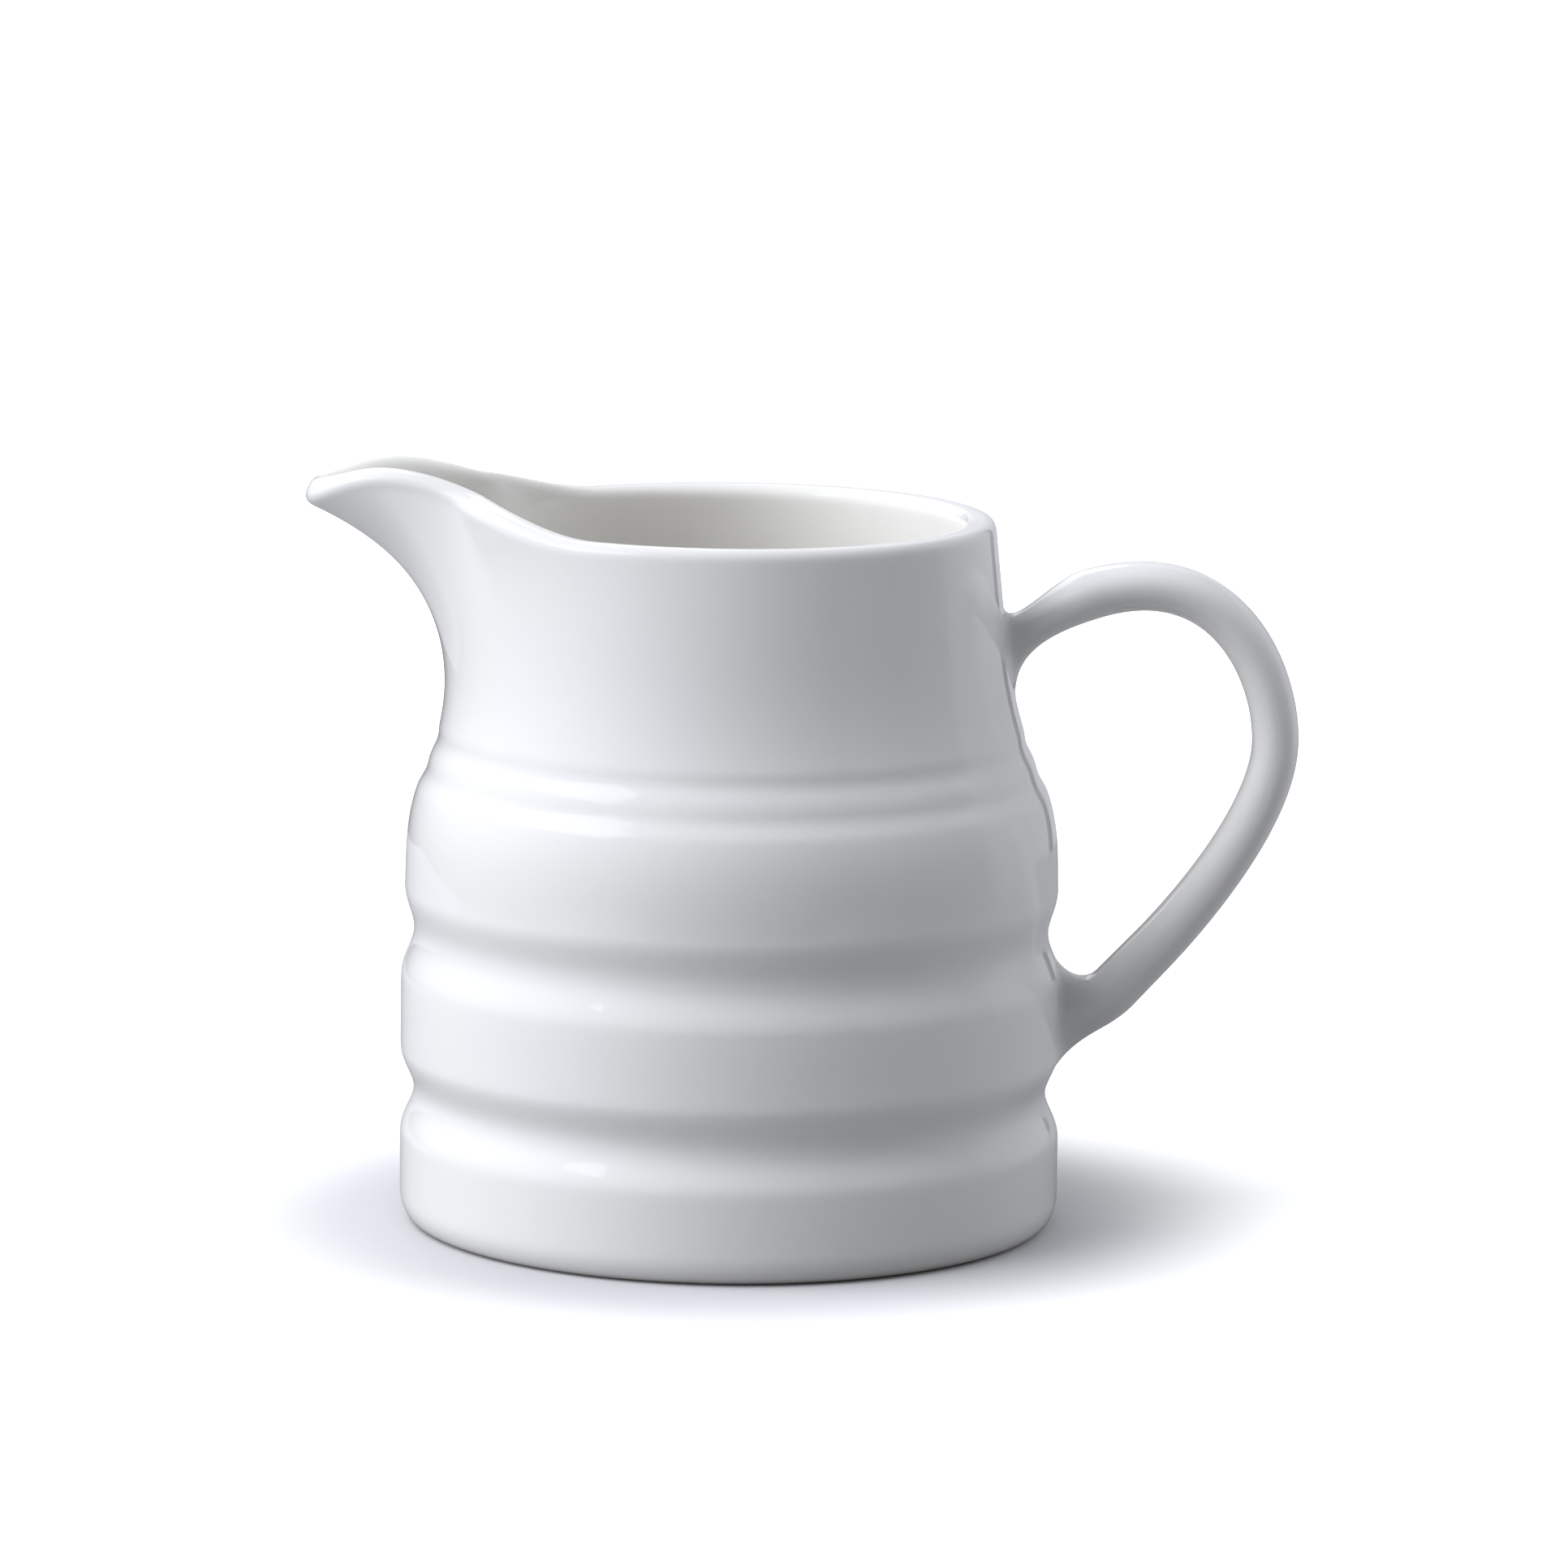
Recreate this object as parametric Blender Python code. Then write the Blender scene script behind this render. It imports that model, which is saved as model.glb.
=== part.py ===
"""A small slip-cast porcelain jug: a banded round body with a pulled beak spout, and an ear handle
luted on with slip. Metres, +Z up. The spout points to -X and the handle to +X, and the foot ring
stands on z = 0."""

import math

import bmesh
import bpy
from mathutils import Vector

# ---- Driving dimensions, in metres -------------------------------------------------------------

# The turned form: heights above the table, and how far in from the body's radius the wall is there.
BODY_RADIUS = 0.0410
BODY_BAND_HEIGHT = 0.0270
TOP_BAND_INSET = 0.0005
TOP_BAND_HEIGHT = 0.0435
SHOULDER_INSET = 0.0027
SHOULDER_HEIGHT = 0.0556
NECK_INSET = 0.0053
NECK_HEIGHT = 0.0625
THROAT_INSET = 0.0075
THROAT_HEIGHT = 0.0740
MOUTH_INSET = 0.0090
RIM_HEIGHT = 0.0880

# The outer radii, tied to the body's so that a wider jug keeps its slopes.
TOP_BAND_RADIUS = BODY_RADIUS - TOP_BAND_INSET
SHOULDER_RADIUS = BODY_RADIUS - SHOULDER_INSET
NECK_RADIUS = BODY_RADIUS - NECK_INSET
THROAT_RADIUS = BODY_RADIUS - THROAT_INSET
MOUTH_RADIUS = BODY_RADIUS - MOUTH_INSET

# How fast the radius falls with height where the outline is not level.
TOP_BAND_SLOPE = -0.02
SHOULDER_SLOPE = -0.50
NECK_SLOPE = -0.30
THROAT_SLOPE = -0.115
MOUTH_SLOPE = -0.11

# The wall, the floor and the foot ring.
WALL = 0.0040
BEAK_WALL = 0.0037
FLOOR = 0.0042
FLOOR_CORNER = 0.0060
FOOT_ROUNDING_WIDTH = 0.0019
FOOT_ROUNDING_HEIGHT = 0.0034
FOOT_RING_WIDTH = 0.0026
FOOT_RECESS = 0.0018
FOOT_RECESS_RUN = 0.0012

# The two wide grooves between the bands, from the lower to the upper: height, depth, half width.
LOWER_GROOVE_HEIGHT = 0.0159
LOWER_GROOVE_DEPTH = 0.00165
LOWER_GROOVE_REACH = 0.0056
UPPER_GROOVE_HEIGHT = 0.0360
UPPER_GROOVE_DEPTH = 0.00135
UPPER_GROOVE_REACH = 0.0058

# The two fine lines round the shoulder.
LOWER_LINE_HEIGHT = 0.0557
UPPER_LINE_HEIGHT = 0.0599
LINE_DEPTH = 0.00020
LINE_REACH = 0.0020

# The beak: how far the lip is pulled, where the pull starts, and how wide it is.
SPOUT_REACH = 0.0196
SPOUT_START = 0.0430
SPOUT_GROWTH = 4.0
LIP_TURN = 9.0
LIP_TURN_SHARE = 0.38
NOSE_HALF_WIDTH = 0.0154
BEAK_HALF_WIDTH = 0.0095
BEAK_SQUARENESS = 5.0
BEAK_SHARE = 0.8
SKIRT_HALF_WIDTH = 0.0260
SKIRT_SQUARENESS = 3.0
BEAK_WIDENING = 0.0260
SPOUT_LIFT = 0.0062
LIFT_START = 0.0175
LIFT_END = 0.0435
LIFT_WALL_START = 0.0600
TIP_DROOP = 0.0024

# The handle: its section, and the line that it follows in the XZ plane.
HANDLE_WIDTH = 0.0084
HANDLE_ROOT_THICKNESS = 0.0066
HANDLE_THICKNESS = 0.0058
HANDLE_SQUARENESS = 2.3
HANDLE_STANDOFF = 0.0261
HANDLE_BELLY_DROP = 0.0275
HANDLE_BELLY_RISE = 0.0105
HANDLE_BELLY_FALL = 0.0092
UPPER_ROOT_DROP = 0.0146
UPPER_ROOT_ANGLE = math.radians(33.8)
UPPER_ROOT_REACH = 0.0290
LOWER_ROOT_HEIGHT = 0.0220
LOWER_ROOT_ANGLE = math.radians(46.8)
LOWER_ROOT_RUN = 0.0162
LOWER_ROOT_REACH = 0.0069

# The slip joints: how far each runs out along the handle, the patch of wall that it covers, and
# the share of the way to the wall over which it still follows the handle.
UPPER_JOINT_LENGTH = 0.0115
UPPER_JOINT_RISE = 0.0042
UPPER_JOINT_FALL = 0.0092
UPPER_JOINT_HALF_WIDTH = 0.0054
UPPER_JOINT_FOLLOW = 0.85
LOWER_JOINT_LENGTH = 0.0100
LOWER_JOINT_RISE = 0.0120
LOWER_JOINT_FALL = 0.0061
LOWER_JOINT_HALF_WIDTH = 0.0052
LOWER_JOINT_FOLLOW = 0.5

# The gap kept between two solids that touch on the real jug.
GAP = 0.0003

# ---- How finely each piece is divided ----------------------------------------------------------

ROUND_STEPS = 52
LIP_SAMPLES = 2880
LIP_STEPS = 6
FOOT_STEPS = 4
CORNER_STEPS = 4
LINE_STEPS = 200
HANDLE_STEPS = 36
SECTION_STEPS = 16
JOINT_STEPS = 6
PATCH_STEPS = 4
NORMAL_STEP = 0.00002
SHARP_ANGLE = math.radians(50)

# Where the rings lie: as shares of a groove's reach, up the neck from the lip's edge down, and
# down the inner wall from the lip to the floor's corner.
GROOVE_RINGS = (-1.0, -0.55, -0.25, 0.0, 0.25, 0.55, 1.0)
LINE_RINGS = (-1.0, 0.0, 1.0)
NECK_RINGS = (0.8, 0.6, 0.44, 0.32, 0.22, 0.14, 0.07, 0.0)
INNER_RINGS = (0.0, 0.03, 0.07, 0.12, 0.18, 0.26, 0.36, 0.48, 0.62, 1.0)

# ---- Materials ---------------------------------------------------------------------------------

GLAZED_WHITE = (0.86, 0.87, 0.89, 1.0)
SLIP_WHITE = (0.84, 0.85, 0.86, 1.0)
GLAZE_ROUGHNESS = 0.08
SLIP_ROUGHNESS = 0.12


def porcelain(name, colour, roughness):
    material = bpy.data.materials.new(name)
    material.use_nodes = True
    shader = material.node_tree.nodes["Principled BSDF"]
    shader.inputs["Base Color"].default_value = colour
    shader.inputs["Roughness"].default_value = roughness
    shader.inputs["Metallic"].default_value = 0.0
    return material


# ---- The turned form ---------------------------------------------------------------------------


def hermite(low, high, height):
    """A cubic between two stations, each a height, a radius and a slope."""
    span = high[0] - low[0]
    t = (height - low[0]) / span
    rise = t * t * (3 - 2 * t)
    return (
        low[1] * (1 - rise)
        + high[1] * rise
        + low[2] * span * t * (1 - t) ** 2
        - high[2] * span * t * t * (1 - t)
    )


def smoothed_radius(height):
    """The outer radius without its grooves."""
    stations = (
        (0.0, BODY_RADIUS, 0.0),
        (BODY_BAND_HEIGHT, BODY_RADIUS, 0.0),
        (TOP_BAND_HEIGHT, TOP_BAND_RADIUS, TOP_BAND_SLOPE),
        (SHOULDER_HEIGHT, SHOULDER_RADIUS, SHOULDER_SLOPE),
        (NECK_HEIGHT, NECK_RADIUS, NECK_SLOPE),
        (THROAT_HEIGHT, THROAT_RADIUS, THROAT_SLOPE),
        (RIM_HEIGHT, MOUTH_RADIUS, MOUTH_SLOPE),
    )
    for low, high in zip(stations, stations[1:]):
        if height <= high[0]:
            return hermite(low, high, height)
    return MOUTH_RADIUS + (height - RIM_HEIGHT) * MOUTH_SLOPE


def groove(height, centre, depth, reach):
    """A rounded dip, half a cosine wave to each side of its centre."""
    away = min(abs(height - centre) / reach, 1.0)
    return depth * math.cos(away * math.pi / 2) ** 2


def turned_radius(height):
    return (
        smoothed_radius(height)
        - groove(height, LOWER_GROOVE_HEIGHT, LOWER_GROOVE_DEPTH, LOWER_GROOVE_REACH)
        - groove(height, UPPER_GROOVE_HEIGHT, UPPER_GROOVE_DEPTH, UPPER_GROOVE_REACH)
        - groove(height, LOWER_LINE_HEIGHT, LINE_DEPTH, LINE_REACH)
        - groove(height, UPPER_LINE_HEIGHT, LINE_DEPTH, LINE_REACH)
    )


# ---- The pulled spout --------------------------------------------------------------------------

EDGE_HEIGHT = RIM_HEIGHT - WALL / 2


def bell(offset, half_width, squareness):
    return math.exp(-((abs(offset) / half_width) ** squareness))


def climb(height):
    """How far up the spout this height is: 0 where the pull starts, 1 at the lip's edge."""
    return max(height - SPOUT_START, 0.0) / (EDGE_HEIGHT - SPOUT_START)


def pull_share(height):
    """How much of the spout's reach shows at this height: a slow swell, and a late turn outwards."""
    t = climb(height)
    return (1 - LIP_TURN_SHARE) * t**SPOUT_GROWTH + LIP_TURN_SHARE * t**LIP_TURN


def smooth(t):
    t = min(max(t, 0.0), 1.0)
    return t * t * (3 - 2 * t)


def pulled_x(radius, angle, height):
    """The X of a point on a circle of this radius once the spout is pulled out. Angle 0 is the
    beak's middle. The beak is a narrow, blunt bell on a wide, low skirt, and it widens downwards."""
    x = -radius * math.cos(angle)
    y = radius * math.sin(angle)
    share = pull_share(height)
    if x > 0 or share == 0:
        return x
    wider = BEAK_WIDENING * (1 - climb(height))
    nose = bell(y, NOSE_HALF_WIDTH + wider, 2)
    beak = nose * bell(y, BEAK_HALF_WIDTH + wider, BEAK_SQUARENESS)
    skirt = bell(y, SKIRT_HALF_WIDTH, SKIRT_SQUARENESS)
    return x - SPOUT_REACH * share * (BEAK_SHARE * beak + (1 - BEAK_SHARE) * skirt)


def beak_share(angle, height):
    """How much this point belongs to the beak: 1 at the tip of the lip, 0 where the wall is round."""
    radius = turned_radius(height)
    reached = pulled_x(radius, angle, height) + radius * math.cos(angle)
    return -reached / SPOUT_REACH


def wall_at(angle, height):
    """The wall's thickness, which thins a little towards the pulled beak."""
    return WALL - (WALL - BEAK_WALL) * beak_share(angle, height)


def bare_point(angle, height, radius_at):
    """A point on the outer surface, before the lip's rise and fall is added."""
    radius = radius_at(height)
    return Vector((pulled_x(radius, angle, height), radius * math.sin(angle), height))


def frame_of(point_at, angle, height, radius_at):
    """The surface's point, its outward normal and the way up, square to the ring."""
    turn = NORMAL_STEP / BODY_RADIUS
    up = point_at(angle, height + NORMAL_STEP, radius_at)
    up -= point_at(angle, height - NORMAL_STEP, radius_at)
    along = point_at(angle + turn, height, radius_at)
    along -= point_at(angle - turn, height, radius_at)
    normal = up.cross(along).normalized()
    return point_at(angle, height, radius_at), normal, along.cross(normal).normalized()


def lip_lift(angle):
    """How far the wall's edge is raised, so that the lip's crest is level round the mouth, climbs
    along the beak's sides and drops a little at its tip, however far the wall leans out."""
    edge, normal, _ = frame_of(bare_point, angle, EDGE_HEIGHT, turned_radius)
    half_wall = wall_at(angle, EDGE_HEIGHT) / 2
    crest = half_wall * normal.x - edge.x
    rise = SPOUT_LIFT * smooth((crest - LIFT_START) / (LIFT_END - LIFT_START))
    past = max(crest - LIFT_END, 0.0) / (MOUTH_RADIUS + SPOUT_REACH - LIFT_END)
    return rise - TIP_DROOP * past**2 + WALL / 2 - half_wall * (1 - normal.z)


def surface_point(angle, height, radius_at):
    lifted = max(height - LIFT_WALL_START, 0.0) / (EDGE_HEIGHT - LIFT_WALL_START)
    lift = lip_lift(angle) * lifted**2 if lifted > 0 else 0.0
    return bare_point(angle, height, radius_at) + Vector((0, 0, lift))


def surface_frame(angle, height, radius_at):
    return frame_of(surface_point, angle, height, radius_at)


def wall_point(angle, height, depth, radius_at=turned_radius):
    """A point this deep under the outer surface. A negative depth is outside the wall."""
    point, normal, _ = surface_frame(angle, height, radius_at)
    return point - normal * depth


# ---- Building closed skins from rings ----------------------------------------------------------


def loft(rings):
    """One closed skin through the rings, in order, with a flat face on the first and the last."""
    mesh = bmesh.new()
    loops = []
    for ring in rings:
        corners = [mesh.verts.new(point) for point in ring]
        loops.append([mesh.edges.new(pair) for pair in zip(corners, corners[1:] + corners[:1])])
    for low, high in zip(loops, loops[1:]):
        bmesh.ops.bridge_loops(mesh, edges=low + high)
    bmesh.ops.holes_fill(mesh, edges=loops[0] + loops[-1], sides=0)
    bmesh.ops.recalc_face_normals(mesh, faces=mesh.faces)
    return mesh


def piece(name, mesh, material, parent):
    data = bpy.data.meshes.new(name)
    mesh.to_mesh(data)
    mesh.free()
    data.materials.append(material)
    data.shade_smooth()
    data.set_sharp_from_angle(angle=SHARP_ANGLE)
    made = bpy.data.objects.new(name, data)
    made.parent = parent
    bpy.context.scene.collection.objects.link(made)
    return made


# ---- The jug body ------------------------------------------------------------------------------


def round_angles():
    """The angles of a ring: halfway between even steps of angle and even steps along the lip, so
    that they crowd where the beak's sides run out and back."""
    fine = [2 * math.pi * step / LIP_SAMPLES for step in range(LIP_SAMPLES + 1)]
    lip = [surface_point(angle, EDGE_HEIGHT, turned_radius) for angle in fine]
    lengths = [(end - start).length for start, end in zip(lip, lip[1:])]
    whole = sum(lengths)
    angles = []
    travelled = 0.0
    for angle, length in zip(fine, lengths):
        if (angle / (2 * math.pi) + travelled / whole) / 2 >= len(angles) / ROUND_STEPS:
            angles.append(angle)
        travelled += length
    return angles


def outer_heights():
    """Where the outer wall's rings lie, from above the foot to the lip."""
    neck = EDGE_HEIGHT - NECK_HEIGHT
    heights = [BODY_BAND_HEIGHT, (TOP_BAND_HEIGHT + SHOULDER_HEIGHT) / 2]
    for share in GROOVE_RINGS:
        heights.append(LOWER_GROOVE_HEIGHT + LOWER_GROOVE_REACH * share)
        heights.append(UPPER_GROOVE_HEIGHT + UPPER_GROOVE_REACH * share)
    for share in LINE_RINGS:
        heights.append(LOWER_LINE_HEIGHT + LINE_REACH * share)
        heights.append(UPPER_LINE_HEIGHT + LINE_REACH * share)
    return sorted(heights + [EDGE_HEIGHT - neck * share for share in NECK_RINGS])


def level_ring(angles, radius, height):
    return [Vector((-radius * math.cos(a), radius * math.sin(a), height)) for a in angles]


def foot_rings(angles):
    """From the middle of the underside, over the foot ring and round its outer edge."""
    flat_outer = BODY_RADIUS - FOOT_ROUNDING_WIDTH
    flat_inner = flat_outer - FOOT_RING_WIDTH
    recess = flat_inner - FOOT_RECESS_RUN
    rings = [
        level_ring(angles, recess / 2, FOOT_RECESS),
        level_ring(angles, recess, FOOT_RECESS),
        level_ring(angles, flat_inner, 0.0),
    ]
    for step in range(FOOT_STEPS + 1):
        turn = math.pi / 2 * step / FOOT_STEPS
        radius = flat_outer + FOOT_ROUNDING_WIDTH * math.sin(turn)
        rings.append(level_ring(angles, radius, FOOT_ROUNDING_HEIGHT * (1 - math.cos(turn))))
    return rings


def lip_rings(angles):
    """The half-round lip, from the outer wall over to the inner one."""
    frames = [
        (*surface_frame(angle, EDGE_HEIGHT, turned_radius), wall_at(angle, EDGE_HEIGHT) / 2)
        for angle in angles
    ]
    rings = []
    for step in range(1, LIP_STEPS):
        turn = math.pi * step / LIP_STEPS
        rings.append(
            [
                point + half_wall * (normal * (math.cos(turn) - 1) + up * math.sin(turn))
                for point, normal, up, half_wall in frames
            ]
        )
    return rings


def floor_rings(angles, corner_height):
    """The rounded corner between the inner wall and the floor, and the floor."""
    floor_top = FOOT_RECESS + FLOOR
    wall_radius = smoothed_radius(corner_height) - WALL
    rings = []
    for step in range(1, CORNER_STEPS + 1):
        turn = math.pi / 2 * step / CORNER_STEPS
        radius = wall_radius - FLOOR_CORNER * (1 - math.cos(turn))
        rings.append(level_ring(angles, radius, corner_height - FLOOR_CORNER * math.sin(turn)))
    rings.append(level_ring(angles, (wall_radius - FLOOR_CORNER) / 2, floor_top))
    return rings


def jug_body(parent):
    angles = round_angles()
    corner_height = FOOT_RECESS + FLOOR + FLOOR_CORNER
    rings = foot_rings(angles)
    rings += [[wall_point(a, height, 0.0) for a in angles] for height in outer_heights()]
    rings += lip_rings(angles)
    for share in INNER_RINGS:
        height = EDGE_HEIGHT - (EDGE_HEIGHT - corner_height) * share
        rings.append([wall_point(a, height, wall_at(a, height), smoothed_radius) for a in angles])
    rings += floor_rings(angles, corner_height)
    material = porcelain("glazed_porcelain", GLAZED_WHITE, GLAZE_ROUGHNESS)
    return piece("jug_body", loft(rings), material, parent)


# ---- The handle --------------------------------------------------------------------------------


def bezier(corners, t):
    a, b, c, d = corners
    return a * (1 - t) ** 3 + b * 3 * t * (1 - t) ** 2 + c * 3 * t * t * (1 - t) + d * t**3


def handle_line():
    """The handle's centre line, from the neck over the belly and down to the body's side."""
    upper_height = RIM_HEIGHT - UPPER_ROOT_DROP
    upper = Vector((turned_radius(upper_height), 0, upper_height))
    upper_way = Vector((math.cos(UPPER_ROOT_ANGLE), 0, math.sin(UPPER_ROOT_ANGLE)))
    belly = Vector((BODY_RADIUS + HANDLE_STANDOFF, 0, RIM_HEIGHT - HANDLE_BELLY_DROP))
    rise = Vector((0, 0, HANDLE_BELLY_RISE))
    fall = Vector((0, 0, HANDLE_BELLY_FALL))
    lower = Vector((turned_radius(LOWER_ROOT_HEIGHT), 0, LOWER_ROOT_HEIGHT))
    lower_way = Vector((math.cos(LOWER_ROOT_ANGLE), 0, math.sin(LOWER_ROOT_ANGLE)))
    straight = lower + lower_way * LOWER_ROOT_RUN
    arch = (upper, upper + upper_way * UPPER_ROOT_REACH, belly + rise, belly)
    back = (belly, belly - fall, straight + lower_way * LOWER_ROOT_REACH, straight)
    line = [bezier(arch, step / LINE_STEPS) for step in range(LINE_STEPS)]
    line += [bezier(back, step / LINE_STEPS) for step in range(LINE_STEPS)]
    return line + [straight, lower]


def along(line, distance):
    """The point this far along a line of points, and the direction of travel there."""
    for start, end in zip(line, line[1:]):
        step = (end - start).length
        if distance <= step:
            return start.lerp(end, distance / step), (end - start).normalized()
        distance -= step
    return line[-1], (line[-1] - line[-2]).normalized()


def length_of(line):
    return sum((end - start).length for start, end in zip(line, line[1:]))


def handle_thickness(share):
    """Thickest at the two roots and slimmest round the belly."""
    return HANDLE_THICKNESS + (HANDLE_ROOT_THICKNESS - HANDLE_THICKNESS) * (2 * share - 1) ** 2


def section(line, distance):
    """The handle's rounded oval at this distance along its centre line."""
    centre, way = along(line, distance)
    across = Vector((0, 1, 0))
    out = way.cross(across)
    half = handle_thickness(distance / length_of(line)) / 2
    power = 2 / HANDLE_SQUARENESS
    ring = []
    for step in range(SECTION_STEPS):
        turn = 2 * math.pi * step / SECTION_STEPS
        c, s = math.cos(turn), math.sin(turn)
        ring.append(
            centre
            + across * (HANDLE_WIDTH / 2 * math.copysign(abs(c) ** power, c))
            + out * (half * math.copysign(abs(s) ** power, s))
        )
    return ring


def handle(parent, line):
    first = UPPER_JOINT_LENGTH + GAP / 2
    last = length_of(line) - LOWER_JOINT_LENGTH - GAP / 2
    rings = [
        section(line, first + (last - first) * step / HANDLE_STEPS)
        for step in range(HANDLE_STEPS + 1)
    ]
    material = porcelain("glazed_handle", GLAZED_WHITE, GLAZE_ROUGHNESS)
    return piece("handle", loft(rings), material, parent)


# ---- The slip joints ---------------------------------------------------------------------------


def patch_ring(height, rise, fall, half_width, share):
    """One ring of the patch of wall under a joint, a gap clear of the wall."""
    ring = []
    for step in range(SECTION_STEPS):
        turn = 2 * math.pi * step / SECTION_STEPS
        sideways = half_width * share * math.cos(turn)
        up = math.sin(turn)
        level = height + share * up * (rise if up > 0 else fall)
        angle = math.pi - sideways / turned_radius(level)
        ring.append(wall_point(angle, level, -GAP))
    return ring


def slip_joint(name, parent, line, distance, patch, follow):
    """The flared fillet between the handle's end and the wall. Each of its lines leaves the handle
    along it and bends over to the edge of the patch."""
    end = section(line, distance)
    _, way = along(line, distance)
    rim = patch_ring(*patch, 1.0)
    if way.x > 0:
        way = -way
    else:
        end = [end[-step % SECTION_STEPS] for step in range(SECTION_STEPS)]
    reach = [follow * (start.x - foot.x) / -way.x for start, foot in zip(end, rim)]
    rings = []
    for step in range(JOINT_STEPS + 1):
        t = step / JOINT_STEPS
        rings.append(
            [
                start * (1 - t) ** 2 + (start + way * pull) * (2 * t * (1 - t)) + foot * t * t
                for start, foot, pull in zip(end, rim, reach)
            ]
        )
    for step in range(1, PATCH_STEPS):
        rings.append(patch_ring(*patch, 1 - step / PATCH_STEPS))
    material = porcelain(name + "_porcelain", SLIP_WHITE, SLIP_ROUGHNESS)
    return piece(name, loft(rings), material, parent)


# ---- The whole jug -----------------------------------------------------------------------------


def clear_scene():
    for old in list(bpy.data.objects):
        bpy.data.objects.remove(old, do_unlink=True)


def centring(line):
    """The shift along X that puts the middle of the jug's length over the origin."""
    half = HANDLE_THICKNESS / 2
    furthest = max(point.x for point in line) + half
    point, normal, _ = surface_frame(0.0, EDGE_HEIGHT, turned_radius)
    half_wall = wall_at(0.0, EDGE_HEIGHT) / 2
    return -(furthest + point.x - half_wall * (normal.x + 1)) / 2


def main():
    clear_scene()
    line = handle_line()
    whole = bpy.data.objects.new("jug", None)
    whole.location.x = centring(line)
    bpy.context.scene.collection.objects.link(whole)
    jug_body(whole)
    handle(whole, line)
    upper_patch = (
        RIM_HEIGHT - UPPER_ROOT_DROP,
        UPPER_JOINT_RISE,
        UPPER_JOINT_FALL,
        UPPER_JOINT_HALF_WIDTH,
    )
    upper_end = UPPER_JOINT_LENGTH - GAP / 2
    slip_joint("upper_slip_joint", whole, line, upper_end, upper_patch, UPPER_JOINT_FOLLOW)
    lower_patch = (
        LOWER_ROOT_HEIGHT,
        LOWER_JOINT_RISE,
        LOWER_JOINT_FALL,
        LOWER_JOINT_HALF_WIDTH,
    )
    lower_end = length_of(line) - LOWER_JOINT_LENGTH + GAP / 2
    slip_joint("lower_slip_joint", whole, line, lower_end, lower_patch, LOWER_JOINT_FOLLOW)


main()
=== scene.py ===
# %% [markdown]
# # A small porcelain jug
# This lesson dresses a plain CAD jug in glazed porcelain. The CAD model says where everything is and
# how big it is. Every piece below is worked out again with numpy as a fine, smooth skin, because
# porcelain is a mirror: a facet or a bump that hides on a matt surface shows at once in its reflections.

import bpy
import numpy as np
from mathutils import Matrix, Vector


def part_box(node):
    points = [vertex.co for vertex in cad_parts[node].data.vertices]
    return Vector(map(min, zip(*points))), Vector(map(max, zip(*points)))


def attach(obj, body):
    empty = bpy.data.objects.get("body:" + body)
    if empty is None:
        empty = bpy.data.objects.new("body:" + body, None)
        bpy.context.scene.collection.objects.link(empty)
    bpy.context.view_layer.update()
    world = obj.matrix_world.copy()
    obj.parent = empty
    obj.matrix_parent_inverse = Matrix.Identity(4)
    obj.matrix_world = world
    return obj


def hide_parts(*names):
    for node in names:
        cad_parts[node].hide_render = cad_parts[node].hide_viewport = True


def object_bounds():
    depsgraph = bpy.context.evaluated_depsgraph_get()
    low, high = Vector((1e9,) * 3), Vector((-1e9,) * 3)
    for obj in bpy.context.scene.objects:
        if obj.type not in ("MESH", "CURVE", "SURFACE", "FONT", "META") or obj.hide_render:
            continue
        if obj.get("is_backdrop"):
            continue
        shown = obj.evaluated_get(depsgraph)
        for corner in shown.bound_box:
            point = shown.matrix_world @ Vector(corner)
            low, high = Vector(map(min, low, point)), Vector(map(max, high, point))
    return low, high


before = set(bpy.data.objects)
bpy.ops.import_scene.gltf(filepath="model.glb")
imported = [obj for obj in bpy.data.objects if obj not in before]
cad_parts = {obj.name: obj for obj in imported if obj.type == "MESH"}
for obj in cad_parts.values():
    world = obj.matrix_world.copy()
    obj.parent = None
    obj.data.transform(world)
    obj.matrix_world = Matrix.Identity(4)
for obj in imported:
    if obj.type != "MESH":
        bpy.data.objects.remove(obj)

# %% [markdown]
# ## The CAD box
# The dressed jug has to stay as big as the CAD jug, so the CAD model's box is kept now, before
# anything is added, and written beside the dressed one's at the end.

cad_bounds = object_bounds()
print("CAD nodes:", sorted(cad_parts))

# %% [markdown]
# ## Where the jug stands
# The body is turned, so it has an axis. The frame's origin is under the middle of the whole jug,
# spout and handle included, and so the axis lies a little to one side of it. It is one body radius
# in from the far side of the body's box.

# %% The body's axis
BODY_RADIUS = 0.0410
body_low, body_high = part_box("jug_body")
AXIS = np.array([body_high.x - BODY_RADIUS, 0.0, 0.0])
print("body radius %.2f mm, axis at x = %.2f mm" % (BODY_RADIUS * 1000, AXIS[0] * 1000))

# %% [markdown]
# ## The camera
# A long lens from a metre away keeps the jug's lines nearly parallel, as a studio photographer would. It
# looks down by about ten degrees, far enough to see over the front lip into the mouth. The camera's
# frame is worked out from four angles and a distance, so each can be changed by itself.

# %% Camera
CAMERA_DISTANCE = 1.008
CAMERA_HEIGHT = 0.2257
LOOK_DOWN = np.radians(9.644)
LOOK_RIGHT = np.radians(0.36)
CAMERA_ROLL = np.radians(0.717)
LENS_MM = 189.45
SENSOR_MM = 36.0


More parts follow.
